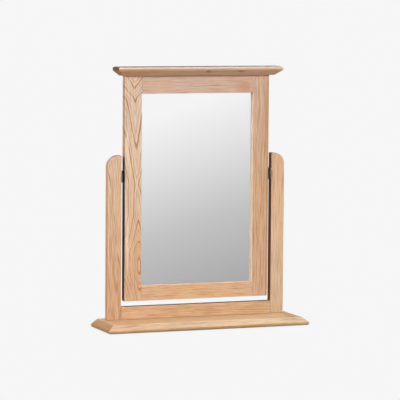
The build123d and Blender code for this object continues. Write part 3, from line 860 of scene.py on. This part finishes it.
# %% Groups of screws in the places of the CAD ones
def screws(name, part, body, kind, seats, towards, material):
    """All screws of one CAD node: copies of one kind at their seats, with heads that face towards."""
    head, crown, sink, shank, length, pitch = OUTLINES[kind]
    turns = np.random.default_rng(len(seats)).uniform(0, pi, len(seats))
    grids = [screw_grid(kind, turn) for turn in turns]
    points = np.stack([grid for grid, wear in grids])
    caps = np.array([[[0, 0, crown - RECESS_DEPTH * head]], [[0, 0, -length]]])
    caps = caps + np.zeros((2, len(seats), 3))
    facing = np.array(Vector(towards).to_track_quat("Z", "Y").to_matrix())
    seats = np.array(seats)
    points = (points @ facing.T + seats[:, None, None]) / MM
    caps = [(cap @ facing.T + seats) / MM for cap in caps]
    mesh = grid_mesh(name, points, caps)
    mesh.polygons.foreach_set("use_smooth", np.ones(len(mesh.polygons), dtype=bool))
    worn = mesh.attributes.new("wear", "FLOAT", "POINT")
    values = np.concatenate([np.stack([wear for grid, wear in grids]).ravel(), np.zeros(2 * len(seats))])
    worn.data.foreach_set("value", values)
    piece = bpy.data.objects.new(name, mesh)
    piece.data.materials.append(material)
    bpy.context.scene.collection.objects.link(piece)
    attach(piece, body)
    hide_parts(part)
    print(name, "replaces", part, "with", len(seats), "screws")


bronze_screw = metal("screw_dark_bronze", *BRONZE, wear="wear")
zinc_screw = metal("screw_zinc_plated", *ZINC, wear="wear")

# %% Screws of the plates
rim, crown = OUTLINES["raised"][0] / 2, OUTLINES["raised"][1]
for side in both:
    for owner, body in (("post", "stand"), ("frame", "mirror")):
        part = f"{side}_{owner}_plate_screws"
        low, high = (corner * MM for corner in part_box(part))
        towards = 1 if (side == "left") == (owner == "post") else -1
        seat_x = (high.x if towards > 0 else low.x) - towards * crown
        middle_y = (low.y + high.y) / 2
        seats = [(seat_x, middle_y, z) for z in (low.z + rim, high.z - rim)]
        screws(f"{part}_threaded", part, body, "raised", seats, (towards, 0, 0),
               bronze_screw)

# %% Screws of the back panel and the base
SCREWS_TALL = 3        # along each upright edge of the panel
SCREWS_WIDE = 2        # along its top and its bottom edge
RAIL_SCREWS = 130      # millimetres from the middle screw of the base to the next

low, high = (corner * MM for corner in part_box("back_panel_screws"))
rim, crown = OUTLINES["domed"][0] / 2, OUTLINES["domed"][1]
edge_x, seat_y = high.x - rim, high.y - crown
ends_z = (low.z + rim, high.z - rim)
rows = np.linspace(*ends_z, SCREWS_TALL + 2)[1:-1]
columns = np.linspace(-edge_x, edge_x, SCREWS_WIDE + 2)[1:-1]
seats = [(x, seat_y, z) for x in (-edge_x, edge_x) for z in rows]
seats += [(x, seat_y, z) for z in ends_z for x in columns]
screws("back_panel_screws_threaded", "back_panel_screws", "mirror", "domed", seats, (0, 1, 0),
       zinc_screw)

low, high = (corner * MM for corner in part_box("base_screws"))
post_x, seat_y = high.x - OUTLINES["flat"][0] / 2, (low.y + high.y) / 2
seats = [(x, seat_y, low.z) for x in (-post_x, -RAIL_SCREWS, 0, RAIL_SCREWS, post_x)]
screws("base_screws_threaded", "base_screws", "stand", "flat", seats, (0, 0, -1), zinc_screw)

# %% [markdown]
# ## Board, dowels and washers
# The back is closed with hardboard: wood fibres pressed hot into a brown sheet, so its colour is a felt
# of lighter and darker fibres, and its back carries the print of the wire screen that it was pressed
# on. The dowels are beech, pale with short dark flecks. The friction washers are dark pressed fibre.
# All three are noises at the size of their fibres.

# %% Hardboard, beech and fibre
STAIN = 60.0                # millimetres across the slow patches in a sheet
STAIN_SHIFT = 0.5           # how far a patch shifts the tone
FIBRE_BUMP = (0.4, 0.0003)  # strength, and depth in metres


def fibrous(name, tones, fibre, screen, rough):
    """Pressed or grown fibres: two tones in noise of fibre mm across and along, and bump.

    With a screen, the print of a wire screen of that many millimetres is pressed in: the product of two
    sines across the sheet.
    """
    material, tree, shader = new_material(name)
    place = add(tree, "Mapping", {0: add(tree, "TexCoord").outputs["Object"],
                                  "Scale": (MM, MM, MM)}).outputs[0]
    felt = lumps(tree, place, fibre, 51, 4.0).outputs["Fac"]
    felt = add(tree, "MapRange", {"Value": felt, "From Min": NOISE_RANGE[0],
                                  "From Max": NOISE_RANGE[1]}).outputs[0]
    patch = lumps(tree, place, (STAIN, STAIN), 52).outputs["Fac"]
    mixed = add(tree, "Math", {0: patch, 1: STAIN_SHIFT, 2: -STAIN_SHIFT / 2}, operation="MULTIPLY_ADD")
    mixed = add(tree, "Math", {0: mixed.outputs[0], 1: felt}, use_clamp=True)
    height = felt
    if screen:
        turns = add(tree, "VectorMath", {0: place, "Scale": 2 * pi / screen}, operation="SCALE")
        waves = add(tree, "VectorMath", {0: turns.outputs[0]}, operation="SINE")
        axes = add(tree, "SeparateXYZ", {0: waves.outputs[0]}).outputs
        height = add(tree, "Math", {0: axes["X"], 1: axes["Z"], 2: felt},
                     operation="MULTIPLY_ADD").outputs[0]
    colour = add(tree, "Mix", {0: mixed.outputs[0], 6: linear(tones[0]), 7: linear(tones[1])},
                 data_type="RGBA")
    tree.links.new(colour.outputs[2], shader.inputs["Base Color"])
    dull = add(tree, "MapRange", {"Value": felt, "To Min": rough[0], "To Max": rough[1]})
    tree.links.new(dull.outputs[0], shader.inputs["Roughness"])
    bump = add(tree, "Bump", {"Height": height, "Strength": FIBRE_BUMP[0], "Distance": FIBRE_BUMP[1]})
    tree.links.new(bump.outputs[0], shader.inputs["Normal"])
    return material


hardboard = fibrous("hardboard_pressed_on_a_screen", ("#9a7c5a", "#7b5f42"), (1.2, 1.2), 2.0, (0.6, 0.8))
beech = fibrous("beech_turned_dowel", ("#dcbd98", "#c09a70"), (0.8, 5.0), 0, (0.5, 0.65))
dark_fibre = fibrous("pressed_dark_fibre", ("#443d38", "#332d29"), (0.5, 0.5), 0, (0.75, 0.9))
give(hardboard, "back_panel")
give(beech, "left_rail_dowels", "right_rail_dowels", "cornice_dowels")
give(dark_fibre, *[f"{side}_friction_washer" for side in both])

# %% [markdown]
# ## Sizes and the last step
# The box of the visual model is printed at the end. The visual model has to stay as large as the
# CAD model.

# %% Sizes and finish
low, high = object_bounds()
print("visual box in metres:", [round(v, 4) for v in low], [round(v, 4) for v in high])
